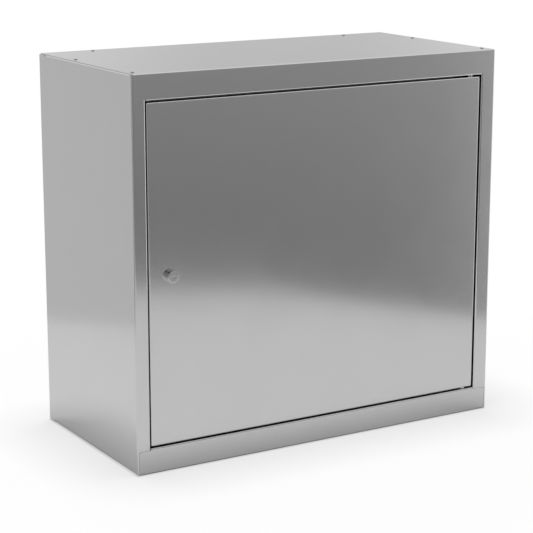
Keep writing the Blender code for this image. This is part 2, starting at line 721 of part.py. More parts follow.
def make_lock_nut(steel, lock):
    """Hexagon nut behind the door's skin."""
    low = SHEET + SEAT_GAP
    bm = rod(NUT_FLATS / 2 / math.cos(math.pi / 6), low, low + NUT_HEIGHT, 6)
    lay_back(bm)
    nut = add_piece("lock_nut", bm, steel, lock)
    drill = rod(BARREL_RADIUS + SEAT_GAP, low - OVERRUN, low + NUT_HEIGHT + OVERRUN, LOCK_SIDES)
    lay_back(drill)
    cut(nut, add_cutter("nut_drill", drill, lock))


def make_lock_plug(steel, lock):
    """Turning core: key slot in front, square end and screw hole behind."""
    front = PLUG_RECESS - LOCK_PROUD
    shoulder = CAM_FRONT - SEAT_GAP
    end = CAM_FRONT + CAM_THICK - SEAT_GAP
    bm = turned([(0.0, front), (PLUG_RADIUS, front), (PLUG_RADIUS, shoulder), (0.0, shoulder)], LOCK_SIDES)
    lay_back(bm)
    plug = add_piece("lock_plug", bm, steel, lock)
    half = CAM_SQUARE / 2
    square = block((-half, shoulder - OVERRUN, -half), (half, end, half))
    step = plug.modifiers.new("square_end", "BOOLEAN")
    step.operation = "UNION"
    step.solver = "EXACT"
    step.object = add_cutter("plug_square", square, lock)
    slot = block((-KEY_SLOT_WIDTH / 2, front - OVERRUN, -KEY_SLOT_HEIGHT / 2),
                 (KEY_SLOT_WIDTH / 2, front + KEY_SLOT_DEPTH, KEY_SLOT_HEIGHT / 2))
    cut(plug, add_cutter("key_slot", slot, lock))
    hole = rod(SCREW_RADIUS + SEAT_GAP, end - SCREW_DEPTH - SEAT_GAP, end + OVERRUN, RIVET_SIDES)
    lay_back(hole)
    cut(plug, add_cutter("plug_drill", hole, lock))


def make_lock_cam(steel, lock):
    """Tongue with round ends; it hangs down when the lock is open."""
    bm = bmesh.new()
    radius = CAM_WIDTH / 2
    turns = [math.pi * step / 10 for step in range(11)]
    top = [(radius * math.cos(turn), radius * math.sin(turn)) for turn in turns]
    tip = [(-x, radius - CAM_REACH - z) for x, z in top]
    face = blank(bm, [(x, CAM_FRONT, z) for x, z in top + tip])
    made = bmesh.ops.extrude_face_region(bm, geom=[face])["geom"]
    verts = [part for part in made if isinstance(part, bmesh.types.BMVert)]
    bmesh.ops.translate(bm, verts=verts, vec=(0.0, CAM_THICK, 0.0))
    bmesh.ops.recalc_face_normals(bm, faces=bm.faces)
    cam = add_piece("lock_cam", bm, steel, lock)
    half = CAM_SQUARE / 2 + SEAT_GAP
    square = block((-half, CAM_FRONT - OVERRUN, -half), (half, CAM_FRONT + CAM_THICK + OVERRUN, half))
    cut(cam, add_cutter("cam_square", square, lock))


def make_cam_screw(steel, lock):
    """Pan head screw in the end of the plug."""
    seat = CAM_FRONT + CAM_THICK + SEAT_GAP
    end = CAM_FRONT + CAM_THICK - SEAT_GAP - SCREW_DEPTH
    crown = seat + SCREW_HEAD_HEIGHT
    bm = turned([(0.0, end), (SCREW_RADIUS, end), (SCREW_RADIUS, seat), (SCREW_HEAD_RADIUS, seat),
                 (SCREW_HEAD_RADIUS, seat + SCREW_HEAD_HEIGHT / 2),
                 (SCREW_HEAD_RADIUS - SCREW_HEAD_HEIGHT / 2, crown), (0.0, crown)], RIVET_SIDES)
    lay_back(bm)
    add_piece("cam_screw", bm, steel, lock)


# Buffers

def buffer_spots():
    """Name and height of the two buffers, in the middle of the stops' flat part."""
    half = (STOP_HEIGHT + FOLD_INNER) / 2
    return [("upper_buffer", HEIGHT - LIP_HEIGHT - half), ("lower_buffer", RAIL_HEIGHT + half)]


def make_buffer_drill(datum):
    """Drill for the buffers' holes in both stops."""
    places = [(BUFFER_FROM_LEFT, -height) for _, height in buffer_spots()]
    drill = rod(BUFFER_STEM_RADIUS + SEAT_GAP, -OVERRUN, SHEET + OVERRUN, BUFFER_SIDES, places)
    lay_back(drill)
    return add_cutter("buffer_drill", drill, datum, (0.0, END_RETURN, 0.0))


def make_buffers(rubber, datum):
    """Rubber buffers, pushed through the stops, that the closed door rests against."""
    front = DOOR_DEPTH + SEAT_GAP - END_RETURN
    tail = SHEET + SEAT_GAP
    outline = [(0.0, front), (BUFFER_RADIUS, front), (BUFFER_RADIUS, -SEAT_GAP), (BUFFER_STEM_RADIUS, -SEAT_GAP),
               (BUFFER_STEM_RADIUS, tail), (BUFFER_TAIL_RADIUS, tail), (BUFFER_STEM_RADIUS, tail + BUFFER_TAIL),
               (0.0, tail + BUFFER_TAIL)]
    for name, height in buffer_spots():
        bm = turned(outline, BUFFER_SIDES)
        lay_back(bm)
        add_piece(name, bm, rubber, datum, (BUFFER_FROM_LEFT, END_RETURN, height))


def build():
    """Make the whole cupboard."""
    clear_scene()
    metal = make_finishes()
    datum = empty_at("datum", DATUM)
    frame_axis = empty_at("frame_pivot", PIVOT, datum)
    door = empty_at("door_pivot", PIVOT, datum)
    lock = empty_at("lock_axis", LOCK - PIVOT, door)
    hinges = (("upper", DOOR_TOP, 1), ("lower", DOOR_BOTTOM, -1))
    places = [(height, up) for _, height, up in hinges]
    bracket_top, _, plate_low, _ = hinge_levels()
    pin_drill = make_pin_drill("pin_drill", PIN_HOLE, bracket_top, OVERRUN / 2, door, places)
    bush_drill = make_pin_drill("bush_drill", BUSH_HOLE, OVERRUN / 2, plate_low, frame_axis, places)
    rivet_drill = make_rivet_drill(datum)
    satin = metal["satin_steel"]
    make_side_panels(satin, datum, rivet_drill)
    make_end_panels(satin, datum, rivet_drill, bush_drill, make_buffer_drill(datum))
    make_back_panel(satin, datum, rivet_drill)
    make_rivets(metal["bright_steel"], datum)
    make_shelf_strips(satin, datum)
    make_shelf_clips(metal["zinc_steel"], datum)
    make_shelf(satin, datum)
    make_door_panel(satin, door, pin_drill)
    make_door_stiffener(satin, door)
    for name, height, up in hinges:
        make_hinge(name, height, up, metal, metal["grey_nylon"], frame_axis, door)
    make_lock_body(metal["bright_steel"], lock)
    make_lock_nut(metal["zinc_steel"], lock)
    make_lock_plug(metal["bright_steel"], lock)
    make_lock_cam(metal["zinc_steel"], lock)
    make_cam_screw(metal["zinc_steel"], lock)
    make_buffers(metal["black_rubber"], datum)


build()
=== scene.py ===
"""Looks of the stainless steel wall cupboard: brushed sheet, lock, hinges, shelf and studio."""
import logging
import math
from dataclasses import dataclass
from enum import Enum
from functools import cache
from typing import Any, Sequence

import bmesh
import bpy
from bmesh.types import BMEdge, BMesh, BMFace, BMVert
from bpy.types import Material, Node, NodeSocket, NodeTree, World
from mathutils import Matrix, Vector


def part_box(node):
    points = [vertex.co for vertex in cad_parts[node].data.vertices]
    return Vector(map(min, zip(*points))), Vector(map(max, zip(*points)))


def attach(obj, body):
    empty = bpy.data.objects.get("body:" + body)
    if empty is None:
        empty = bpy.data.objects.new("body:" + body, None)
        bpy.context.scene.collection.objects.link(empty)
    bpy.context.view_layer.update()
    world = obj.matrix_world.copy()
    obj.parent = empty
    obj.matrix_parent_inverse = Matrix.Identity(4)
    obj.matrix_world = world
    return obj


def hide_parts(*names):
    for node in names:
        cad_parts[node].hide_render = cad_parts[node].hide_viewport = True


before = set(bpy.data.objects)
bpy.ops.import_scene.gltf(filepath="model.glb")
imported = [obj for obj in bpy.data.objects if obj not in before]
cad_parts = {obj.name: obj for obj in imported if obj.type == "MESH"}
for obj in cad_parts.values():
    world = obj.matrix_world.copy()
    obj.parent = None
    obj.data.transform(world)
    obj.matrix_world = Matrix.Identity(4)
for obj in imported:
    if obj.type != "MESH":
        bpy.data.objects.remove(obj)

LOG = logging.getLogger("wall_cupboard")

# When points are one, faces are one, edges are broken and edges shade sharp; the scale of bumps
SAME = 0.00001
FLAT_TURN = math.radians(0.5)
EDGE_TURN = math.radians(50.0)
SHARP_TURN = math.radians(35.0)
BUMP_HEIGHT = 0.0001

# The carcass in its own frame: X from the left wall, Y from the front back, Z up from the base
WIDTH = 0.650
DEPTH = 0.320
HEIGHT = 0.600
LOCK_PROUD = 0.009
SHEET = 0.001
FOLD = 0.0025
CARCASS_ORIGIN = Vector((-WIDTH / 2, (LOCK_PROUD - DEPTH) / 2, 0.0))

Profile = Sequence[tuple[float, float]]
Band = tuple[int, float, float]
Triple = tuple[float, float, float]


class Body(Enum):
    """The bodies that pieces ride on."""

    CARCASS = "carcass"
    DOOR = "door"
    LOCK = "lock"


class Slot(Enum):
    """The record's material slots."""

    SATIN = "satin_steel"
    BRIGHT = "bright_steel"
    ZINC = "zinc_steel"
    NYLON = "grey_nylon"
    RUBBER = "black_rubber"


class Grain(Enum):
    """Which way the brushing runs, as the stretch of the pattern along X, Y and Z."""

    ACROSS = (0.06, 1.0, 1.0)
    UPRIGHT = (1.0, 1.0, 0.06)
    NONE = (1.0, 1.0, 1.0)


def at(x: float, y: float, z: float) -> Vector:
    """A point of the carcass frame in the row frame."""
    return CARCASS_ORIGIN + Vector((x, y, z))


# Node wiring


@dataclass
class Wiring:
    """Adds nodes to one tree and links them."""

    tree: NodeTree

    def add(self, kind: str, inputs: dict[str | int, Any] | None = None, **settings: Any) -> Node:
        """Add a node.

        Args:
            kind: the node's type without the word ShaderNode.
            inputs: plain values or output sockets, by the input's name or number.
            settings: properties of the node itself.

        Returns:
            The new node.
        """
        node = self.tree.nodes.new(kind if kind.startswith("Node") else "ShaderNode" + kind)
        for name, value in settings.items():
            setattr(node, name, value)
        for name, value in (inputs or {}).items():
            if isinstance(value, NodeSocket):
                self.link(value, node.inputs[name])
            else:
                node.inputs[name].default_value = value
        return node

    def link(self, source: NodeSocket, target: NodeSocket) -> None:
        """Join an output to an input."""
        self.tree.links.new(source, target)

    def group(self, tree: NodeTree, **inputs: Any) -> Any:
        """The outputs of a node group that is given these inputs."""
        return self.add("Group", inputs, node_tree=tree).outputs

    def noise(self, place: Any, scale: Any, detail: float, **more: float) -> NodeSocket:
        """Noise over a place, by its scale, its detail and other inputs by name."""
        inputs = {"Vector": place, "Scale": scale, "Detail": detail, **more}
        return self.add("TexNoise", inputs).outputs[0]

    def bump(self, shader: Node, strength: float, height: NodeSocket) -> None:
        """Raise and lower a shader's surface with a height."""
        made = self.add("Bump", {"Strength": strength, "Distance": BUMP_HEIGHT, "Height": height})
        self.link(made.outputs[0], shader.inputs["Normal"])

    def math(self, kind: str, first: Any, second: Any = 0.0, clamp: bool = False) -> NodeSocket:
        """The result of one sum of values or sockets, kept between 0 and 1 if clamped."""
        return self.add("Math", {0: first, 1: second}, operation=kind, use_clamp=clamp).outputs[0]

    def ramp(self, value: Any, low: float, high: float, to_low: Any = 0.0, to_high: Any = 1.0,
             smooth: bool = False) -> NodeSocket:
        """A socket's value carried from one range to another, held at the ends, eased if smooth."""
        return self.add("MapRange", {0: value, 1: low, 2: high, 3: to_low, 4: to_high}, clamp=True,
                        interpolation_type="SMOOTHSTEP" if smooth else "LINEAR").outputs[0]

    def walk(self, value: Any, start: Any, *steps: tuple[float, float, Any]) -> NodeSocket:
        """A value that changes in steps while another one rises.

        Args:
            value: the socket that leads.
            start: result or socket before the first step.
            steps: where each step starts and ends, and the result or socket after it.

        Returns:
            The result's socket.
        """
        for low, high, level in steps:
            start = self.ramp(value, low, high, start, level, smooth=True)
        return start

    def tint(self, mask: Any, first: Any, second: Any) -> NodeSocket:
        """A colour between two colours or sockets, as far towards the second as the mask says."""
        return self.add("Mix", {0: mask, 6: first, 7: second}, data_type="RGBA").outputs[2]


def node_group(name: str, inputs: dict[str, str],
               outputs: dict[str, str]) -> tuple[NodeTree, Wiring, Any, Any]:
    """An empty shader node group with named sockets.

    Args:
        name: the group's name.
        inputs: kind of socket, by name.
        outputs: kind of socket, by name.

    Returns:
        The group, its wiring, what it is given and what it hands out.
    """
    tree = bpy.data.node_groups.new(name, "ShaderNodeTree")
    for side, sockets in (("INPUT", inputs), ("OUTPUT", outputs)):
        for label, kind in sockets.items():
            tree.interface.new_socket(name=label, in_out=side, socket_type="NodeSocket" + kind)
    wiring = Wiring(tree)
    return tree, wiring, wiring.add("NodeGroupInput").outputs, wiring.add("NodeGroupOutput").inputs


@cache
def brushing_group() -> NodeTree:
    """Fine scratches drawn out one way: their tone and their height.

    Returns:
        The node group.
    """
    tree, wiring, given, result = node_group(
        "brushing", {"Place": "Vector", "Stretch": "Vector"}, {"Tone": "Float", "Height": "Float"})
    fine_share = 0.45
    drawn = wiring.add("VectorMath", {0: given["Place"], 1: given["Stretch"]},
                       operation="MULTIPLY").outputs[0]
    fine = wiring.noise(drawn, 2600.0, 3.0, Roughness=0.6)
    broad = wiring.noise(drawn, 520.0, 4.0, Roughness=0.65)
    both = wiring.math("ADD", wiring.math("MULTIPLY", fine, fine_share),
                       wiring.math("MULTIPLY", broad, 1 - fine_share))
    wiring.link(wiring.ramp(both, 0.32, 0.68), result["Tone"])
    wiring.link(both, result["Height"])
    return tree


@cache
def handling_group() -> NodeTree:
    """Slow clouds over a surface, as wiping and handling leave them, and small specks.

    Returns:
        The node group.
    """
    tree, wiring, given, result = node_group(
        "handling", {"Place": "Vector", "Size": "Float"}, {"Cloud": "Float", "Speck": "Float"})
    place, specks_per_cloud = given["Place"], 24.0
    scale = wiring.math("DIVIDE", 1.0, given["Size"])
    cloud = wiring.noise(place, scale, 5.0, Roughness=0.55, Distortion=0.4)
    speck = wiring.noise(place, wiring.math("MULTIPLY", scale, specks_per_cloud), 2.0)
    wiring.link(wiring.ramp(cloud, 0.3, 0.7, smooth=True), result["Cloud"])
    wiring.link(wiring.ramp(speck, 0.62, 0.74), result["Speck"])
    return tree


@cache
def edge_group() -> NodeTree:
    """A mask over folds and cut edges, where the surface turns within a short reach.

    Returns:
        The node group.
    """
    tree, wiring, given, result = node_group(
        "edge_wear_and_highlight", {"Place": "Vector", "Breakup": "Float"}, {"Mask": "Float"})
    rounded = wiring.add("Bevel", {"Radius": 0.0012}, samples=4).outputs[0]
    plain = wiring.add("NewGeometry").outputs["Normal"]
    straight = wiring.add("VectorMath", {0: rounded, 1: plain},
                          operation="DOT_PRODUCT").outputs["Value"]
    turn = wiring.ramp(straight, 0.995, 0.9)
    noise = wiring.noise(given["Place"], 350.0, 3.0)
    kept = wiring.math("SUBTRACT", 1.0, wiring.math("MULTIPLY", noise, given["Breakup"]))
    wiring.link(wiring.math("MULTIPLY", turn, kept, clamp=True), result["Mask"])
    return tree


# Finishes


def bare_wiring(owner: Material | World) -> Wiring:
    """The emptied nodes of a material or of the world.

    Args:
        owner: the material or world.

    Returns:
        The wiring of its nodes.
    """
    owner.use_nodes = True
    owner.node_tree.nodes.clear()
    return Wiring(owner.node_tree)


def new_material(name: str) -> tuple[Material, Wiring, Node]:
    """A node material with a bare Principled shader.

    Args:
        name: the material's name.

    Returns:
        The material, its wiring and its shader.
    """
    material = bpy.data.materials.new(name)
    wiring = bare_wiring(material)
    shader = wiring.add("BsdfPrincipled")
    wiring.add("OutputMaterial", {"Surface": shader.outputs[0]})
    return material, wiring, shader


def shade(colour: Triple, share: float) -> tuple[float, ...]:
    """An opaque colour, lighter or darker by a share of itself."""
    return (*(min(1.0, part * share) for part in colour), 1.0)


@dataclass(frozen=True)
class Steel:
    """Bare or plated steel, brushed, turned or rolled."""

    name: str
    colour: Triple
    roughness: float
    grain: Grain = Grain.NONE
    contrast: float = 0.02
    grain_depth: float = 0.04
    # Lighter folds and cut edges: partly real wear, partly a painted highlight on the bends
    edge_wear_highlight_share: float = 1.12
    edge_wear_and_highlight: float = 0.5
    edge_breakup: float = 0.3
    cloud_size: float = 0.09
    cloud_share: float = 0.985
    cloud_depth: float = 0.6
    rough_spread: float = 0.008
    speck_rough: float = 0.03

    @cache
    def material(self) -> Material:
        """The finish as a node material, made once.

        Returns:
            The material.
        """
        material, wiring, shader = new_material(self.name)
        place = wiring.add("TexCoord").outputs["Object"]
        brushing = wiring.group(brushing_group(), Place=place, Stretch=self.grain.value)
        handling = wiring.group(handling_group(), Place=place, Size=self.cloud_size)
        edge = wiring.group(edge_group(), Place=place, Breakup=self.edge_breakup)
        tone, cloud = brushing["Tone"], handling["Cloud"]
        plain = wiring.tint(tone, shade(self.colour, 1 - self.contrast),
                            shade(self.colour, 1 + self.contrast))
        clouded = wiring.tint(self.cloud_depth, plain, shade(self.colour, self.cloud_share))
        # Folds and cut edges turn lighter: partly worn bright, partly a painted highlight of the
        # light that the bends catch
        worn_and_highlit = wiring.math("MULTIPLY", edge["Mask"], self.edge_wear_and_highlight)
        bright = shade(self.colour, self.edge_wear_highlight_share)
        wiring.link(wiring.tint(worn_and_highlit, wiring.tint(cloud, plain, clouded), bright),
                    shader.inputs["Base Color"])
        rough, spread = self.roughness, self.rough_spread
        dull = wiring.math("ADD", wiring.ramp(cloud, 0.0, 1.0, rough - spread, rough + spread),
                           wiring.ramp(tone, 0.0, 1.0, -spread, spread))
        specks = wiring.math("MULTIPLY", handling["Speck"], self.speck_rough)
        wiring.link(wiring.math("ADD", dull, specks), shader.inputs["Roughness"])
        wiring.bump(shader, self.grain_depth, brushing["Height"])
        shader.inputs["Metallic"].default_value = 1.0
        return material


@dataclass(frozen=True)
class Moulded:
    """Moulded nylon or rubber with a fine matt skin."""

    name: str
    colour: Triple
    roughness: float
    skin: float = 0.15
    contrast: float = 0.07
    cloud_size: float = 0.006
    rough_spread: float = 0.05
    grit_scale: float = 3500.0

    @cache
    def material(self) -> Material:
        """The finish as a node material, made once.

        Returns:
            The material.
        """
        material, wiring, shader = new_material(self.name)
        place = wiring.add("TexCoord").outputs["Object"]
        cloud = wiring.group(handling_group(), Place=place, Size=self.cloud_size)["Cloud"]
        wiring.link(wiring.tint(cloud, shade(self.colour, 1 - self.contrast),
                                shade(self.colour, 1 + self.contrast)), shader.inputs["Base Color"])
        rough, spread = self.roughness, self.rough_spread
        wiring.link(wiring.ramp(cloud, 0.0, 1.0, rough - spread, rough + spread),
                    shader.inputs["Roughness"])
        wiring.bump(shader, self.skin, wiring.noise(place, self.grit_scale, 2.0))
        return material


SATIN = (0.538, 0.538, 0.538)
FRONT_STEEL = Steel("brushed_across", SATIN, 0.15, Grain.ACROSS)
SIDE_STEEL = Steel("brushed_upright", SATIN, 0.15, Grain.UPRIGHT)
SHELF_STEEL = Steel("brushed_shelf", SATIN, 0.17, Grain.ACROSS)
STRIP_STEEL = Steel("brushed_strip", SATIN, 0.19, Grain.UPRIGHT)
BRIGHT_STEEL = Steel("bright_turned_steel", (0.60, 0.60, 0.603), 0.14, Grain.NONE, 0.03, 0.02)
ZINC_STEEL = Steel("zinc_plated_steel", (0.50, 0.51, 0.53), 0.30, Grain.NONE, 0.06, 0.05, 1.2)
RIVET_STEEL = Steel("dull_rivet_steel", (0.34, 0.34, 0.345), 0.34, Grain.NONE, 0.08, 0.05, 1.4)
WELD_STEEL = Steel("heat_tinted_steel", (0.43, 0.42, 0.41), 0.27, Grain.NONE, 0.08, 0.08, 1.2)
NYLON = Moulded("grey_nylon_skin", (0.42, 0.42, 0.41), 0.45)
RUBBER = Moulded("black_rubber_skin", (0.022, 0.022, 0.023), 0.70, 0.3)


# Shaping and publishing


def face_out(bm: BMesh) -> None:
    """Turn all faces outwards."""
    bmesh.ops.recalc_face_normals(bm, faces=bm.faces)


def merge_flat(bm: BMesh) -> None:
    """Make one face of faces that lie in one plane."""
    bmesh.ops.dissolve_limit(bm, angle_limit=FLAT_TURN, verts=bm.verts, edges=bm.edges)


def add_box(bm: BMesh, low: Vector, high: Vector) -> None:
    """Add a box between two corners."""
    matrix = Matrix.Translation((low + high) / 2) @ Matrix.Diagonal((*(high - low), 1.0))
    bmesh.ops.create_cube(bm, size=1.0, matrix=matrix)


def lathe(profile: Profile, steps: int) -> BMesh:
    """Spin a closed or axis-to-axis profile round Z.

    Args:
        profile: radius and height of each point, up the outside first.
        steps: faces round the piece.

    Returns:
        The turned mesh with outward faces.
    """
    bm = bmesh.new()
    verts = [bm.verts.new((radius, 0.0, height)) for radius, height in profile]
    pairs = list(zip(verts, verts[1:]))
    if profile[0][0] > 0 or profile[-1][0] > 0:
        pairs.append((verts[-1], verts[0]))
    edges = [bm.edges.new(pair) for pair in pairs]
    bmesh.ops.spin(bm, geom=verts + edges, cent=(0, 0, 0), axis=(0, 0, 1), dvec=(0, 0, 0),
                   angle=2 * math.pi, steps=steps, use_merge=True, use_duplicate=False)
    bmesh.ops.remove_doubles(bm, verts=bm.verts, dist=SAME / 10)
    face_out(bm)
    return bm


def rotate(bm: BMesh, turn: float, axis: str) -> None:
    """Turn a whole mesh about an axis through the origin."""
    bmesh.ops.rotate(bm, verts=bm.verts, cent=(0, 0, 0), matrix=Matrix.Rotation(turn, 3, axis))


def lay_back(bm: BMesh) -> None:
    """Turn an upright piece so that its top points to the back."""
    rotate(bm, -math.pi / 2, "X")


def shift(bm: BMesh, place: Vector) -> None:
    """Move a whole mesh."""
    bmesh.ops.translate(bm, verts=bm.verts, vec=place)


def join(bm: BMesh, other: BMesh) -> None:
    """Add another mesh to this one and free it.

    Args:
        bm: the mesh that grows.
        other: the mesh that goes into it.
    """
    spare = bpy.data.meshes.new("spare")
    other.to_mesh(spare)
    other.free()
    bm.from_mesh(spare)
    bpy.data.meshes.remove(spare)


def split_face(bm: BMesh, face: BMFace, bands: Sequence[Band]) -> list[BMFace]:
    """Cut a flat face along bands.

    Args:
        bm: the mesh.
        face: the flat face to cut.
        bands: axis, low and high of each band.

    Returns:
        The faces that the flat face became.
    """
    faces = [face]
    for axis, low, high in bands:
        normal = Vector((0, 0, 0))
        normal[axis] = 1.0
        for value in (low, high):
            geom = faces + list({edge for part in faces for edge in part.edges}) \
                + list({vert for part in faces for vert in part.verts})
            made = bmesh.ops.bisect_plane(bm, geom=geom, dist=SAME / 10, plane_co=normal * value,
                                          plane_no=normal)
            faces = [part for part in made["geom"] if isinstance(part, BMFace)]
    return faces


def inside(face: BMFace, bands: Sequence[Band]) -> bool:
    """Whether a face's middle lies within all the bands."""
    middle = face.calc_center_median()
    return all(low < middle[axis] < high for axis, low, high in bands)


def extrude(bm: BMesh, faces: Sequence[BMFace], way: Vector) -> None:
    """Draw faces out together; a free face stays behind and closes the solid."""
    made = bmesh.ops.extrude_face_region(bm, geom=list(faces))["geom"]
    bmesh.ops.translate(bm, verts=[part for part in made if isinstance(part, BMVert)], vec=way)


def push(bm: BMesh, faces: Sequence[BMFace], way: Vector) -> None:
    """Push faces of a solid in or out, into a pocket or a boss."""
    extrude(bm, faces, way)
    bmesh.ops.delete(bm, geom=[face for face in faces if face.is_valid], context="FACES")


def face_at(bm: BMesh, level: float) -> BMFace:
    """The flat end of a piece at this level on Y, made one face."""
    discs = [face for face in bm.faces if abs(face.calc_center_median().y - level) < SAME]
    return bmesh.ops.dissolve_faces(bm, faces=discs)["region"][0]


def round_edges(bm: BMesh, edges: Sequence[BMEdge], width: float) -> None:
    """Round some edges with two faces."""
    bmesh.ops.bevel(bm, geom=edges, offset=width, offset_type="OFFSET", segments=2, profile=0.5,
                    affect="EDGES", material=-1, clamp_overlap=True)


def soften(bm: BMesh, width: float) -> None:
    """Break the edges that turn by more than EDGE_TURN.

    Args:
        bm: the mesh.
        width: width of the rounding.
    """
    bm.normal_update()
    round_edges(bm, [edge for edge in bm.edges if len(edge.link_faces) == 2
                     and edge.calc_face_angle() > EDGE_TURN], width)


@dataclass(frozen=True)
class Dress:
    """How a finished mesh becomes a piece of the cupboard."""

    body: Body
    slot: Slot
    finish: Steel | Moulded

    def publish(self, name: str, bm: BMesh, *nodes: str) -> None:
        """Make the piece, put it on its body and hide the CAD nodes that it stands for.

        Args:
            name: the piece's name.
            bm: its mesh, in place.
            nodes: the CAD nodes that it stands for.
        """
        mesh = bpy.data.meshes.new(name)
        bm.to_mesh(mesh)
        bm.free()
        mesh.materials.append(self.finish.material())
        mesh.shade_smooth()
        mesh.set_sharp_from_angle(angle=SHARP_TURN)
        piece = bpy.data.objects.new(name, mesh)
        bpy.context.scene.collection.objects.link(piece)
        even = piece.modifiers.new("even_shading", "WEIGHTED_NORMAL")
        even.keep_sharp = True
        even.weight = 80
        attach(piece, self.body.value)
        if nodes:
            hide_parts(*nodes)
        LOG.info("%s: %d faces on %s", name, len(mesh.polygons), self.body.value)

    def sheet(self, name: str, node: str, edge_break: float) -> None:
        """Publish a CAD sheet with whole flat faces and broken edges.

        Args:
            name: the piece's name.
            node: the CAD node.
            edge_break: width of the broken edges.
        """
        bm = bmesh.new()
        bm.from_mesh(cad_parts[node].data)
        bmesh.ops.remove_doubles(bm, verts=bm.verts, dist=SAME)
        merge_flat(bm)
        soften(bm, edge_break)
        self.publish(name, bm, node)


# The cupboard


@dataclass
class Carcass:
    """Folded sheets of the outside, with the welds of the corners and the rivets of the top."""

    edge_break: float = 0.00012
    seat_gap: float = 0.0003
    fill_clear: float = 0.00002
    seam_low: float = 0.5633
    seam_high: float = 0.5636
    left_stile: float = 0.022
    right_stile: float = 0.026
    bend_land: float = 0.0028
    sheet_edge: float = 0.0031
    relief_front: float = 0.005
    relief_back: float = 0.2984
    relief_foot: float = 0.5952
    slit_foot: float = 0.5972
    slit_end: float = 0.3182
    flange_level: float = 0.59868
    lap_end: float = 0.006
    lap_level: float = 0.5991
    rail_seam: float = 0.0369
    rail_corner: float = 0.0035
    rail_recess: float = 0.0006
    rivet_inset: float = 0.012
    rivet_front: float = 0.020
    rivet_middle: float = 0.210
    rivet_back: float = 0.0875
    # Blind rivet from its bulb to the dome with the broken mandrel in it
    rivet: Profile = (
        (0.0, -0.0042), (0.0013, -0.0040), (0.0021, -0.0034), (0.0022, -0.0028), (0.0015, -0.0026),
        (0.0015, 0.0), (0.0027, 0.0), (0.0028, 0.0002), (0.00275, 0.00055), (0.0024, 0.0009),
        (0.0017, 0.00115), (0.0012, 0.0012), (0.0010, 0.0010), (0.00095, 0.0003),
        (0.0007, 0.00045), (0.0, 0.0005))

    def build(self) -> None:
        """Make and dress every piece of the carcass."""
        side = Dress(Body.CARCASS, Slot.SATIN, SIDE_STEEL)
        front = Dress(Body.CARCASS, Slot.SATIN, FRONT_STEEL)
        rivets = Dress(Body.CARCASS, Slot.BRIGHT, RIVET_STEEL)
        for place, dress in (("left_side", side), ("right_side", side), ("top", front),
                             ("bottom", front), ("back", front)):
            dress.sheet(f"{place}_sheet", f"{place}_panel", self.edge_break)
        front.publish("ground_welds", self.weld_fill())
        for number, (x, y) in enumerate(self.rivet_places(), start=1):
            rivet = lathe(self.rivet, 28)
            shift(rivet, at(x, y, HEIGHT))
            rivets.publish(f"blind_rivet_{number}", rivet, f"top_rivet_{number}")

    def weld_fill(self) -> BMesh:
        """Weld metal beside the top lip, in the cuts of the corners and in the rail's corners.

        Returns:
            The mesh of all the fills.
        """
        bm = self.corner_fill()
        land, edge = self.bend_land, self.sheet_edge
        for low, high in ((land, self.left_stile + self.seat_gap),
                          (WIDTH - self.right_stile - self.seat_gap, WIDTH - land)):
            add_box(bm, at(low, 0.0, self.seam_low), at(high, SHEET, self.seam_high))
        for low, high in ((land, edge), (WIDTH - edge, WIDTH - land)):
            add_box(bm, at(low, 0.0, self.seam_high), at(high, SHEET, HEIGHT - FOLD - SAME))
        return bm

    def corner_fill(self) -> BMesh:
        """Metal in the walls' relief cuts, beside the back's flanges and under the top's edges.

        Returns:
            The mesh, alike at all four corners seen from the front, but for the rail's.
        """
        bm = bmesh.new()
        level, near, far = self.flange_level, self.relief_front, self.relief_back
        lap = self.sheet_edge + self.fill_clear
        for low, high in (
                ((0.0, near, self.relief_foot), (SHEET, near + SHEET, level)),
                ((0.0, far, self.relief_foot), (SHEET, far + SHEET, level)),
                ((SHEET, far, self.slit_foot), (self.bend_land, self.slit_end, level)),
                ((lap, FOLD, level), (self.lap_end, self.slit_end, self.lap_level))):
            add_box(bm, at(*low), at(*high))
        for axis, centre in (("X", at(WIDTH / 2, 0.0, 0.0)), ("Z", at(0.0, 0.0, HEIGHT / 2))):
            whole = list(bm.verts) + list(bm.edges) + list(bm.faces)
            bmesh.ops.mirror(bm, geom=whole, matrix=Matrix.Translation(-centre), merge_dist=0.0,
                             axis=axis)
        self.fill_rail_corners(bm)
        face_out(bm)
        return bm

    def fill_rail_corners(self, bm: BMesh) -> None:
        """Put metal in the rail's rounded corners, a little below its face.

        Args:
            bm: the mesh that takes the metal.
        """
        radius = self.rail_corner + self.fill_clear
        across, level = self.sheet_edge + self.rail_corner, self.rail_seam - self.rail_corner
        outline = [(across - radius, level + radius)]
        outline += [(across - radius * math.cos(turn), level + radius * math.sin(turn))
                    for turn in (step * math.pi / 8 for step in range(5))]
        for mirrored in (False, True):
            corners = [at(WIDTH - x if mirrored else x, self.rail_recess, z) for x, z in outline]
            face = bm.faces.new([bm.verts.new(corner) for corner in corners])
            extrude(bm, [face], Vector((0, SHEET - self.rail_recess, 0)))

    def rivet_places(self) -> list[tuple[float, float]]:
        """Where the rivets go through the top: four along the sides, two at the back."""
        inset, back, rows = self.rivet_inset, self.rivet_back, (self.rivet_front, self.rivet_middle)
        return [(x, y) for x in (inset, WIDTH - inset) for y in rows] + [
            (x, DEPTH - inset) for x in (back, WIDTH - back)]


@dataclass
class ShelfSystem:
    """Slotted strips on the side walls, the clips hooked into them and the loose shelf."""

    edge_break: float = 0.00012

    def build(self) -> None:
        """Make and dress the strips, clips and shelf."""
        strips = Dress(Body.CARCASS, Slot.SATIN, STRIP_STEEL)
        clips = Dress(Body.CARCASS, Slot.ZINC, ZINC_STEEL)
        shelf = Dress(Body.CARCASS, Slot.SATIN, SHELF_STEEL)
        for corner in ("front_left", "rear_left", "front_right", "rear_right"):
            strips.sheet(f"{corner}_shelf_strip", f"{corner}_strip", self.edge_break)
            clips.sheet(f"{corner}_shelf_clip", f"{corner}_clip", self.edge_break)
        shelf.sheet("loose_shelf", "shelf", self.edge_break)


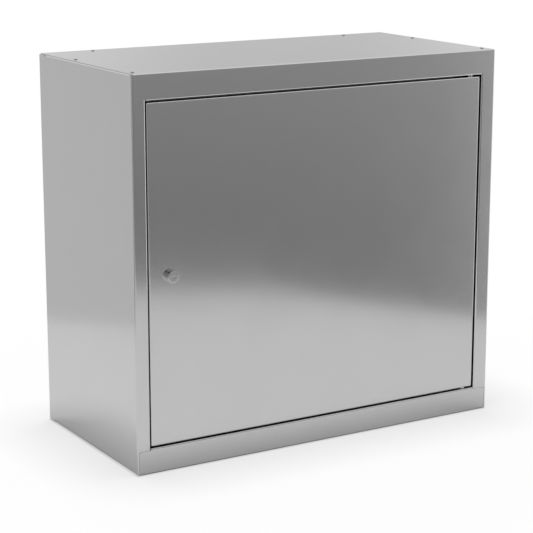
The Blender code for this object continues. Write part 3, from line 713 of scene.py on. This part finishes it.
@dataclass
class Door:
    """The inset door's pan and the stiffener welded behind its skin."""

    edge_break: float = 0.00012

    def build(self) -> None:
        """Make and dress the door's sheets."""
        for steel, name, node in ((FRONT_STEEL, "door_pan", "door_panel"),
                                  (STRIP_STEEL, "door_hat_stiffener", "door_stiffener")):
            Dress(Body.DOOR, Slot.SATIN, steel).sheet(name, node, self.edge_break)


@dataclass
class SpotWelds:
    """Marks that the welding tongs leave on the feet of the stiffener and the shelf strips."""

    pitch: float = 0.065
    from_end: float = 0.020
    stiffener_foot: float = 0.0055
    strip_foot: float = 0.0042
    # A low ring pressed up round a flat dent
    ring: Profile = ((0.0, -0.0003), (0.0025, -0.0003), (0.0025, 0.00001), (0.0023, 0.00006),
                     (0.0020, 0.00008), (0.0017, 0.00005), (0.0015, 0.00002), (0.0, 0.00002))

    def build(self) -> None:
        """Make and dress the rows of marks."""
        low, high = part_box("door_stiffener")
        bm = bmesh.new()
        for x in (low.x + self.stiffener_foot, high.x - self.stiffener_foot):
            for level in self.levels(low.z, high.z):
                join(bm, self.mark(Vector((x, low.y + SHEET, level)), -math.pi / 2, "X"))
        Dress(Body.DOOR, Slot.SATIN, WELD_STEEL).publish("stiffener_spot_welds", bm)
        for side, turn in (("left", math.pi / 2), ("right", -math.pi / 2)):
            bm = bmesh.new()
            for row in ("front", "rear"):
                low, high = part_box(f"{row}_{side}_strip")
                x = low.x + SHEET if side == "left" else high.x - SHEET
                for y in (low.y + self.strip_foot, high.y - self.strip_foot):
                    for level in self.levels(low.z, high.z):
                        join(bm, self.mark(Vector((x, y, level)), turn, "Y"))
            Dress(Body.CARCASS, Slot.SATIN, WELD_STEEL).publish(f"{side}_strip_spot_welds", bm)

    def levels(self, low: float, high: float) -> list[float]:
        """Heights of a row of marks, evenly spread.

        Args:
            low: lower end of the foot.
            high: upper end of the foot.

        Returns:
            The height of each mark.
        """
        span = high - low - 2 * self.from_end
        count = max(1, round(span / self.pitch))
        return [low + self.from_end + span * number / count for number in range(count + 1)]

    def mark(self, place: Vector, turn: float, axis: str) -> BMesh:
        """One mark of the tongs, turned and put in place.

        Args:
            place: its middle on the foot's surface.
            turn: the turn from upright to the surface's own direction.
            axis: the axis of that turn.

        Returns:
            The mark's mesh.
        """
        bm = lathe(self.ring, 20)
        rotate(bm, turn, axis)
        shift(bm, place)
        return bm


@dataclass
class Hinge:
    """One pivot hinge, seen from the door's outer flange towards the frame."""

    name: str
    up: int
    pivot_x: float = 0.6055
    pivot_y: float = 0.008
    pin_radius: float = 0.0032
    head_radius: float = 0.0048
    head_thick: float = 0.0015
    spacer_radius: float = 0.0050
    spacer_thick: float = 0.0022
    spacer_clear: float = 0.00008
    bush_clear: float = 0.0001
    bush_wall: float = 0.0012
    bush_rim: float = 0.0012
    plate_break: float = 0.0002
    sides: int = 40
    door_ends: tuple[float, float] = (0.0424, 0.5581)

    def build(self) -> None:
        """Make and dress the pin, its spacer, the bush and their two plates."""
        for kind, body in (("hinge_plate", Body.CARCASS), ("door_bracket", Body.DOOR)):
            Dress(body, Slot.ZINC, ZINC_STEEL).sheet(
                f"{self.name}_{kind}_steel", f"{self.name}_{kind}", self.plate_break)
        bright = Dress(Body.DOOR, Slot.BRIGHT, BRIGHT_STEEL)
        low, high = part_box(f"{self.name}_hinge_pin")
        pin = lathe(self.pin_profile(high.z - low.z), self.sides)
        self.stand(pin, low.z if self.up > 0 else high.z)
        bright.publish(f"{self.name}_pivot_pin", pin, f"{self.name}_hinge_pin")
        spacer = lathe(self.spacer_profile(), self.sides)
        self.stand(spacer, self.door_ends[self.up > 0] + self.spacer_clear * self.up)
        bright.publish(f"{self.name}_pivot_spacer", spacer)
        low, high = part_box(f"{self.name}_hinge_bush")
        bush = lathe(self.bush_profile(high.z - low.z, (high.x - low.x) / 2), self.sides)
        self.stand(bush, low.z if self.up > 0 else high.z)
        Dress(Body.CARCASS, Slot.NYLON, NYLON).publish(
            f"{self.name}_pivot_bush", bush, f"{self.name}_hinge_bush")

    def stand(self, bm: BMesh, level: float) -> None:
        """Put a turned piece on the pivot, turned over for the lower hinge.

        Args:
            bm: the piece, upright on the origin.
            level: height of its first face.
        """
        if self.up < 0:
            rotate(bm, math.pi, "X")
        shift(bm, at(self.pivot_x, self.pivot_y, level))

    def pin_profile(self, length: float) -> Profile:
        """Head, shank and rounded tip of the pin."""
        head, shank, thick = self.head_radius, self.pin_radius, self.head_thick
        return ((0.0, 0.0), (head - 0.0004, 0.0), (head - 0.0001, 0.0001), (head, 0.0004),
                (head, thick - 0.0002), (head - 0.0002, thick), (shank + 0.0002, thick),
                (shank, thick + 0.0002), (shank, length - 0.0006),
                (shank - 0.0002, length - 0.00025), (shank - 0.0006, length), (0.0, length))

    def spacer_profile(self) -> Profile:
        """Washer that fills the gap between the door and the frame, with rounded rims.

        Returns:
            The profile's points.
        """
        bore, rim = self.pin_radius + self.spacer_clear, self.spacer_radius
        thick, soft, near = self.spacer_thick, 0.0003, 0.00009
        return ((bore, 0.0), (rim - soft, 0.0), (rim - near, near), (rim, soft),
                (rim, thick - soft), (rim - near, thick - near), (rim - soft, thick), (bore, thick))

    def bush_profile(self, length: float, flange: float) -> Profile:
        """Sleeve and flange of the bush, with rounded rims.

        Args:
            length: length of the bush.
            flange: radius of its flange.

        Returns:
            The profile's points.
        """
        bore, soft, rim = self.pin_radius + self.bush_clear, 0.0002, length - self.bush_rim
        wall = bore + self.bush_wall
        return ((bore + soft, 0.0), (wall - soft, 0.0), (wall, soft), (wall, rim),
                (flange - soft, rim), (flange, rim + soft), (flange, length - soft),
                (flange - soft, length), (bore + soft, length), (bore, length - soft), (bore, soft))


@dataclass
class CamLock:
    """Cam lock through the door, drawn with its axis on Y and its front at the low end."""

    across: float = 0.0597
    height: float = 0.300
    collar: float = 0.009
    collar_round: float = 0.0006
    barrel: float = 0.0078
    barrel_end: float = 0.0193
    bore: float = 0.0057
    thread_start: float = 0.0056
    thread_pitch: float = 0.001
    thread_depth: float = 0.0004
    plug: float = 0.0056
    plug_recess: float = 0.0006
    plug_square: float = 0.0035
    slot: Triple = (0.0030, 0.0007, 0.006)
    shutter_recess: float = 0.0012
    shutter_thick: float = 0.0004
    nut_low: float = 0.0013
    nut_tall: float = 0.004
    nut_flats: float = 0.011
    cam_front: float = 0.0196
    cam_thick: float = 0.002
    cam_round: float = 0.008
    cam_reach: float = 0.049
    cam_square: float = 0.0038
    screw_head: float = 0.0045
    screw_shank: float = 0.002
    screw_deep: float = 0.0083
    screw_top: float = 0.0029
    recess_arm: float = 0.0021
    recess_blade: float = 0.00045
    recess_deep: float = 0.0012

    def build(self) -> None:
        """Make and dress the pieces of the lock."""
        bright, zinc = (Slot.BRIGHT, BRIGHT_STEEL), (Slot.ZINC, ZINC_STEEL)
        for body, look, name, bm, *nodes in (
                (Body.DOOR, bright, "lock_collar_and_barrel", self.body(), "lock_body"),
                (Body.LOCK, bright, "lock_core", self.core(), "lock_plug"),
                (Body.LOCK, bright, "lock_dust_shutter", self.shutter()),
                (Body.DOOR, zinc, "lock_hexagon_nut", self.nut(), "lock_nut"),
                (Body.LOCK, zinc, "lock_tongue", self.tongue(), "lock_cam"),
                (Body.LOCK, zinc, "tongue_screw", self.screw(), "cam_screw")):
            shift(bm, at(self.across, 0.0, self.height))
            Dress(body, *look).publish(name, bm, *nodes)

    def body(self) -> BMesh:
        """Collar with a rounded front edge, then the threaded barrel and the bore.

        Returns:
            The mesh on Y.
        """
        front, soft, barrel, end = -LOCK_PROUD, self.collar_round, self.barrel, self.barrel_end
        points = [(self.bore, front + 0.0004), (self.bore + 0.0003, front)]
        side, rise = self.collar - soft, front + soft
        points += [(side + soft * math.sin(turn), rise - soft * math.cos(turn))
                   for turn in (math.radians(step) for step in range(0, 91, 15))]
        points += [(self.collar, -0.0007), (self.collar - 0.0002, -0.0003), (barrel, -0.0003),
                   (barrel, self.thread_start)]
        level, pitch, root = self.thread_start, self.thread_pitch, barrel - self.thread_depth
        while level + pitch < end - 0.0008:
            points += [(barrel, level + 0.15 * pitch), (root, level + 0.45 * pitch),
                       (root, level + 0.55 * pitch), (barrel, level + 0.85 * pitch)]
            level += pitch
        bm = lathe(points + [(barrel, end - 0.0005), (barrel - 0.0004, end), (self.bore, end)], 64)
        lay_back(bm)
        return bm

    def core(self) -> BMesh:
        """Turning core: key slot in front and square end behind.

        Returns:
            The mesh on Y.
        """
        front, end = self.plug_recess - LOCK_PROUD, self.barrel_end
        rim, half = 0.0003, self.plug_square
        bm = lathe(((0.0, front), (self.plug - rim, front), (self.plug, front + rim),
                    (self.plug, end), (0.0, end)), 48)
        lay_back(bm)
        wide, tall, deep = self.slot
        for level, bands, way in ((front, ((0, -wide, wide), (2, -tall, tall)), deep),
                                  (end, ((0, -half, half), (2, -half, half)), self.cam_thick)):
            parts = split_face(bm, face_at(bm, level), bands)
            push(bm, [face for face in parts if inside(face, bands)], Vector((0, way, 0)))
        face_out(bm)
        mouth = [edge for edge in bm.edges if all(
            abs(vert.co.y - front) < SAME and abs(vert.co.x) < wide + SAME
            and abs(vert.co.z) < tall + SAME for vert in edge.verts)]
        round_edges(bm, mouth, 0.0002)
        return bm

    def shutter(self) -> BMesh:
        """Sprung plate that closes the key slot, with a pressed rib along its middle.

        Returns:
            The mesh on Y.
        """
        bm = bmesh.new()
        wide, tall, _ = self.slot
        half = Vector((2 * wide - 0.0002, self.shutter_thick, 2 * tall - 0.00016)) / 2
        add_box(bm, -half, half)
        bands = ((0, -wide * 0.8, wide * 0.8), (2, -tall * 0.35, tall * 0.35))
        parts = split_face(bm, min(bm.faces, key=lambda face: face.calc_center_median().y), bands)
        push(bm, [face for face in parts if inside(face, bands)], Vector((0, -0.00012, 0)))
        face_out(bm)
        shift(bm, Vector((0, self.shutter_recess - LOCK_PROUD, 0)))
        return bm

    def nut(self) -> BMesh:
        """Hexagon nut with broken corners and a threaded hole.

        Returns:
            The mesh on Y.
        """
        bm = bmesh.new()
        corner = self.nut_flats / math.cos(math.pi / 6)
        bmesh.ops.create_circle(bm, cap_ends=False, radius=corner, segments=6)
        outer = list(bm.edges)
        hole = bmesh.ops.create_circle(bm, cap_ends=False, radius=self.barrel + 0.0002,
                                       segments=36)["verts"]
        inner = list({edge for vert in hole for edge in vert.link_edges})
        made = bmesh.ops.bridge_loops(bm, edges=outer + inner)
        extrude(bm, made["faces"], Vector((0, 0, self.nut_tall)))
        face_out(bm)
        merge_flat(bm)
        soften(bm, 0.0004)
        shift(bm, Vector((0, 0, self.nut_low)))
        lay_back(bm)
        return bm

    def tongue(self) -> BMesh:
        """Stamped tongue with round ends and a square hole; it hangs down in the open lock.

        Returns:
            The mesh on Y.
        """
        bm = bmesh.new()
        radius, reach, square = self.cam_round, self.cam_reach, self.cam_square
        bmesh.ops.create_grid(bm, x_segments=1, y_segments=1, size=1.0)
        bmesh.ops.scale(bm, verts=bm.verts, vec=(radius, (reach + radius) / 2, 1.0))
        bmesh.ops.bevel(bm, geom=list(bm.verts), offset=radius - SAME, offset_type="OFFSET",
                        segments=12, profile=0.5, affect="VERTICES", material=-1,
                        clamp_overlap=False)
        shift(bm, Vector((0, (radius - reach) / 2, 0)))
        rotate(bm, math.pi / 2, "X")
        bands = ((0, -square, square), (2, -square, square))
        parts = split_face(bm, bm.faces[:][0], bands)
        bmesh.ops.delete(bm, geom=[face for face in parts if inside(face, bands)], context="FACES")
        extrude(bm, bm.faces, Vector((0, self.cam_thick, 0)))
        merge_flat(bm)
        face_out(bm)
        soften(bm, 0.00025)
        shift(bm, Vector((0, self.cam_front, 0)))
        return bm

    def screw(self) -> BMesh:
        """Pan head screw with a cross recess.

        Returns:
            The mesh on Y.
        """
        seat, head, shank = self.cam_front + self.cam_thick, self.screw_head, self.screw_shank
        top, arm, blade = seat + self.screw_top, self.recess_arm, self.recess_blade
        bm = lathe(((0.0, seat - self.screw_deep), (shank, seat - self.screw_deep),
                    (shank, seat + 0.0003), (head, seat + 0.0003), (head, seat + 0.0013),
                    (head - 0.0004, seat + 0.0021), (head - 0.0012, top - 0.0002),
                    (head - 0.0019, top), (0.0, top)), 32)
        lay_back(bm)
        upright, across = ((0, -blade, blade), (2, -arm, arm)), ((0, -arm, arm), (2, -blade, blade))
        bands = ((0, -blade, blade), (2, -blade, blade), (0, -arm, arm), (2, -arm, arm))
        parts = split_face(bm, face_at(bm, top), bands)
        push(bm, [face for face in parts if inside(face, upright) or inside(face, across)],
             Vector((0, -self.recess_deep, 0)))
        face_out(bm)
        return bm


@dataclass
class Buffers:
    """Rubber buffers pushed through the door stops."""

    wide: float = 0.0042
    neck: float = 0.0018
    barb: float = 0.0026

    def build(self) -> None:
        """Make and dress both buffers."""
        for node in ("upper_buffer", "lower_buffer"):
            low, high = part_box(node)
            middle = (low + high) / 2
            bm = lathe(self.profile(high.y - low.y), 32)
            lay_back(bm)
            shift(bm, Vector((middle.x, low.y, middle.z)))
            Dress(Body.CARCASS, Slot.RUBBER, RUBBER).publish(f"{node}_rubber", bm, node)

    def profile(self, length: float) -> Profile:
        """Rounded face, neck in the sheet and the barb behind it."""
        wide, neck, barb, back = self.wide, self.neck, self.barb, length - 0.0033
        return ((0.0, 0.0), (0.0022, 0.00005), (0.0034, 0.0003), (0.0040, 0.0008), (wide, 0.0014),
                (wide, back - 0.0003), (wide - 0.0003, back), (neck, back), (neck, back + 0.0013),
                (barb, back + 0.0013), (barb - 0.0002, back + 0.0019), (neck, length - 0.0002),
                (neck - 0.0003, length), (0.0, length))


# The studio


WHITE = (1.0, 1.0, 1.0, 1.0)


@dataclass
class Studio:
    """Camera, pale floor, surroundings and soft lamps."""

    lens: float = 118.11
    camera_place: Triple = (-1.4308, -2.3654, 0.9015)
    yaw: float = 0.5414
    pitch: float = 0.2311
    floor_outline: tuple[tuple[float, float], ...] = (
        (-1.15, -1.25), (-0.25, -1.50), (0.15, -1.22), (0.4275, -1.061), (0.68, -0.638),
        (1.60, 0.58), (3.60, 3.20), (1.65, 3.70), (-0.582, 0.751), (-0.683, 0.640), (-1.25, -0.11))
    floor_white: float = 0.93
    # Grey at the footprint's edge and how far it reaches: a painted contact shadow in the floor's
    # colour
    floor_painted_shadow: float = 0.25
    floor_sink: float = 0.0005
    painted_shadow_wide: float = 0.003
    fade: Triple = (0.35, 0.85, 0.60)
    fill: float = 0.37
    dark_low: float = 0.286
    dark_level: float = 0.335
    dark_near: float = 0.41
    dark_left: float = 0.18
    left_grey: float = 0.50
    dark_high: float = 0.40
    black_flag: float = 0.06
    side_light: float = 1.25
    pale_side: float = 0.73
    pale_rear: float = 0.79
    pale_back: float = 0.625
    bright_top: float = 1.08
    lamp_place: Triple = (-0.02, 0.10, 5.0)
    lamp_size: tuple[float, float] = (1.4, 1.4)
    lamp_power: float = 172.0

    def build(self) -> None:
        """Set up everything round the cupboard."""
        self.make_camera()
        self.make_floor()
        self.make_world()
        self.make_lamps()
        bpy.context.scene.view_settings.view_transform = "Standard"

    def make_camera(self) -> None:
        """Camera at the photograph's viewing angle."""
        data = bpy.data.cameras.new("photo_camera")
        data.sensor_width = 36.0
        data.lens = self.lens
        camera = bpy.data.objects.new("photo_camera", data)
        camera.location = self.camera_place
        camera.rotation_euler = (math.pi / 2 - self.pitch, 0.0, -self.yaw)
        bpy.context.scene.collection.objects.link(camera)
        bpy.context.scene.camera = camera

    def make_floor(self) -> None:
        """Pale floor whose ends show in metal, and which fades into white for the camera."""
        bm = bmesh.new()
        bm.faces.new([bm.verts.new((*spot, -self.floor_sink)) for spot in self.floor_outline])
        mesh = bpy.data.meshes.new("floor")
        bm.to_mesh(mesh)
        bm.free()
        floor = bpy.data.objects.new("floor", mesh)
        bpy.context.scene.collection.objects.link(floor)
        mesh.materials.append(self.floor_material())

    def floor_material(self) -> Material:
        """Matt white with a painted contact shadow round the cupboard's footprint, that fades to
        plain white with distance.

        Returns:
            The material.
        """
        material = bpy.data.materials.new("pale_floor")
        wiring = bare_wiring(material)
        start, end, least = self.fade
        place = wiring.add("TexCoord").outputs["Object"]
        reach = wiring.add("VectorMath", {0: place}, operation="LENGTH").outputs["Value"]
        fade = wiring.ramp(reach, start, end, least, 1.0, smooth=True)
        seen = wiring.add("LightPath").outputs["Is Camera Ray"]
        parts = wiring.add("SeparateXYZ", {0: place}).outputs
        # Painted contact shadow: the matt colour darkens within a few millimetres of the cupboard's
        # footprint
        sides = wiring.math("SUBTRACT", wiring.math("ABSOLUTE", parts[0]), WIDTH / 2)
        ends = wiring.math("SUBTRACT", parts[1], CARCASS_ORIGIN.y + DEPTH / 2)
        ends = wiring.math("SUBTRACT", wiring.math("ABSOLUTE", ends), DEPTH / 2)
        away = wiring.math("MAXIMUM", sides, ends)
        tone = wiring.ramp(away, 0.0, self.painted_shadow_wide, self.floor_painted_shadow, self.floor_white,
                           smooth=True)
        grey = wiring.add("CombineColor", {0: tone, 1: tone, 2: tone}).outputs[0]
        matt = wiring.add("BsdfDiffuse", {"Color": grey}).outputs[0]
        white = wiring.add("Emission", {"Color": WHITE, "Strength": 1.0}).outputs[0]
        share = wiring.math("MULTIPLY", fade, seen)
        mixed = wiring.add("MixShader", {0: share, 1: matt, 2: white}).outputs[0]
        wiring.add("OutputMaterial", {"Surface": mixed})
        return material

    def make_world(self) -> None:
        """White to the camera, an even fill to matt surfaces, a half dark studio to metal."""
        world = bpy.data.worlds.new("studio")
        bpy.context.scene.world = world
        wiring = bare_wiring(world)
        grey = self.surroundings(wiring)
        rays = wiring.add("LightPath").outputs
        glossy = wiring.math("MAXIMUM", rays["Is Glossy Ray"], rays["Is Transmission Ray"])
        colour = wiring.tint(rays["Is Camera Ray"], grey, WHITE)
        plain = wiring.add("Background", {"Color": WHITE, "Strength": self.fill}).outputs[0]
        shown = wiring.add("Background", {"Color": colour, "Strength": 1.0}).outputs[0]
        either = wiring.math("MAXIMUM", rays["Is Camera Ray"], glossy)
        mixed = wiring.add("MixShader", {0: either, 1: plain, 2: shown}).outputs[0]
        wiring.add("OutputWorld", {"Surface": mixed})

    def surroundings(self, wiring: Wiring) -> NodeSocket:
        """What metal sees: pale round the back and sides, bright overhead, dark in front.

        Each step of the turn gives degrees from the front, with the left side below zero, and the
        level after it. Height is the upward share of the direction.

        Args:
            wiring: the world's nodes.

        Returns:
            The socket of the colour.
        """
        parts = wiring.add("SeparateXYZ", {0: wiring.add("TexCoord").outputs["Generated"]}).outputs
        height = parts[2]
        turn = wiring.math("ARCTAN2", parts[0], wiring.math("MULTIPLY", parts[1], -1.0))
        turn = wiring.math("DEGREES", turn)
        ramp, walk = wiring.ramp, wiring.walk
        front = walk(height, self.dark_low, (-0.215, -0.15, self.dark_level),
                     (-0.15, -0.11, self.dark_near))
        under = walk(turn, self.pale_rear, (-174, -146, self.pale_side),
                     (-138, -128, self.left_grey), (-22, -12, self.dark_left), (4, 18, front),
                     (38.8, 41.8, self.side_light), (80, 98, self.pale_side),
                     (110, 140, self.pale_rear))
        over = walk(turn, self.pale_rear, (-174, -146, self.pale_side),
                    (-62, -54, self.dark_high), (38, 46, self.pale_side),
                    (100, 140, self.pale_rear), (140.5, 146.5, self.pale_back),
                    (150, 158, self.pale_rear))
        flag = wiring.math("MULTIPLY", walk(turn, 0.0, (-38, -26, 1.0), (-6, 12, 0.0)),
                           walk(height, 0.0, (0.38, 0.44, 1.0), (0.54, 0.63, 0.0)))
        over = ramp(flag, 0.0, 1.0, over, self.black_flag)
        ahead = walk(turn, 0.0, (-62, -54, 1.0), (38, 46, 0.0))
        ceiling = ramp(ahead, 0.0, 1.0, ramp(height, 0.2, 0.5), ramp(height, 0.6, 0.85))
        seen = ramp(height, -0.03, 0.1, under, over)
        seen = ramp(ceiling, 0.0, 1.0, seen, self.bright_top)
        return wiring.add("CombineColor", {0: seen, 1: seen, 2: seen}).outputs[0]

    def make_lamps(self) -> None:
        """One broad soft lamp over the cupboard, which metal doesn't see."""
        data = bpy.data.lights.new("overhead_softbox", "AREA")
        data.shape = "RECTANGLE"
        data.size, data.size_y = self.lamp_size
        data.energy = self.lamp_power
        lamp = bpy.data.objects.new("overhead_softbox", data)
        lamp.location = self.lamp_place
        lamp.visible_glossy = False
        bpy.context.scene.collection.objects.link(lamp)


def main() -> None:
    """Build the cupboard and its studio."""
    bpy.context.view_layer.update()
    for assembly in (Carcass(), ShelfSystem(), Door(), SpotWelds(), Hinge("upper", 1),
                     Hinge("lower", -1), CamLock(), Buffers(), Studio()):
        LOG.info("building %s", type(assembly).__name__)
        assembly.build()


if __name__ == "__main__":
    logging.basicConfig(level=logging.INFO, format="%(name)s: %(message)s")
    main()
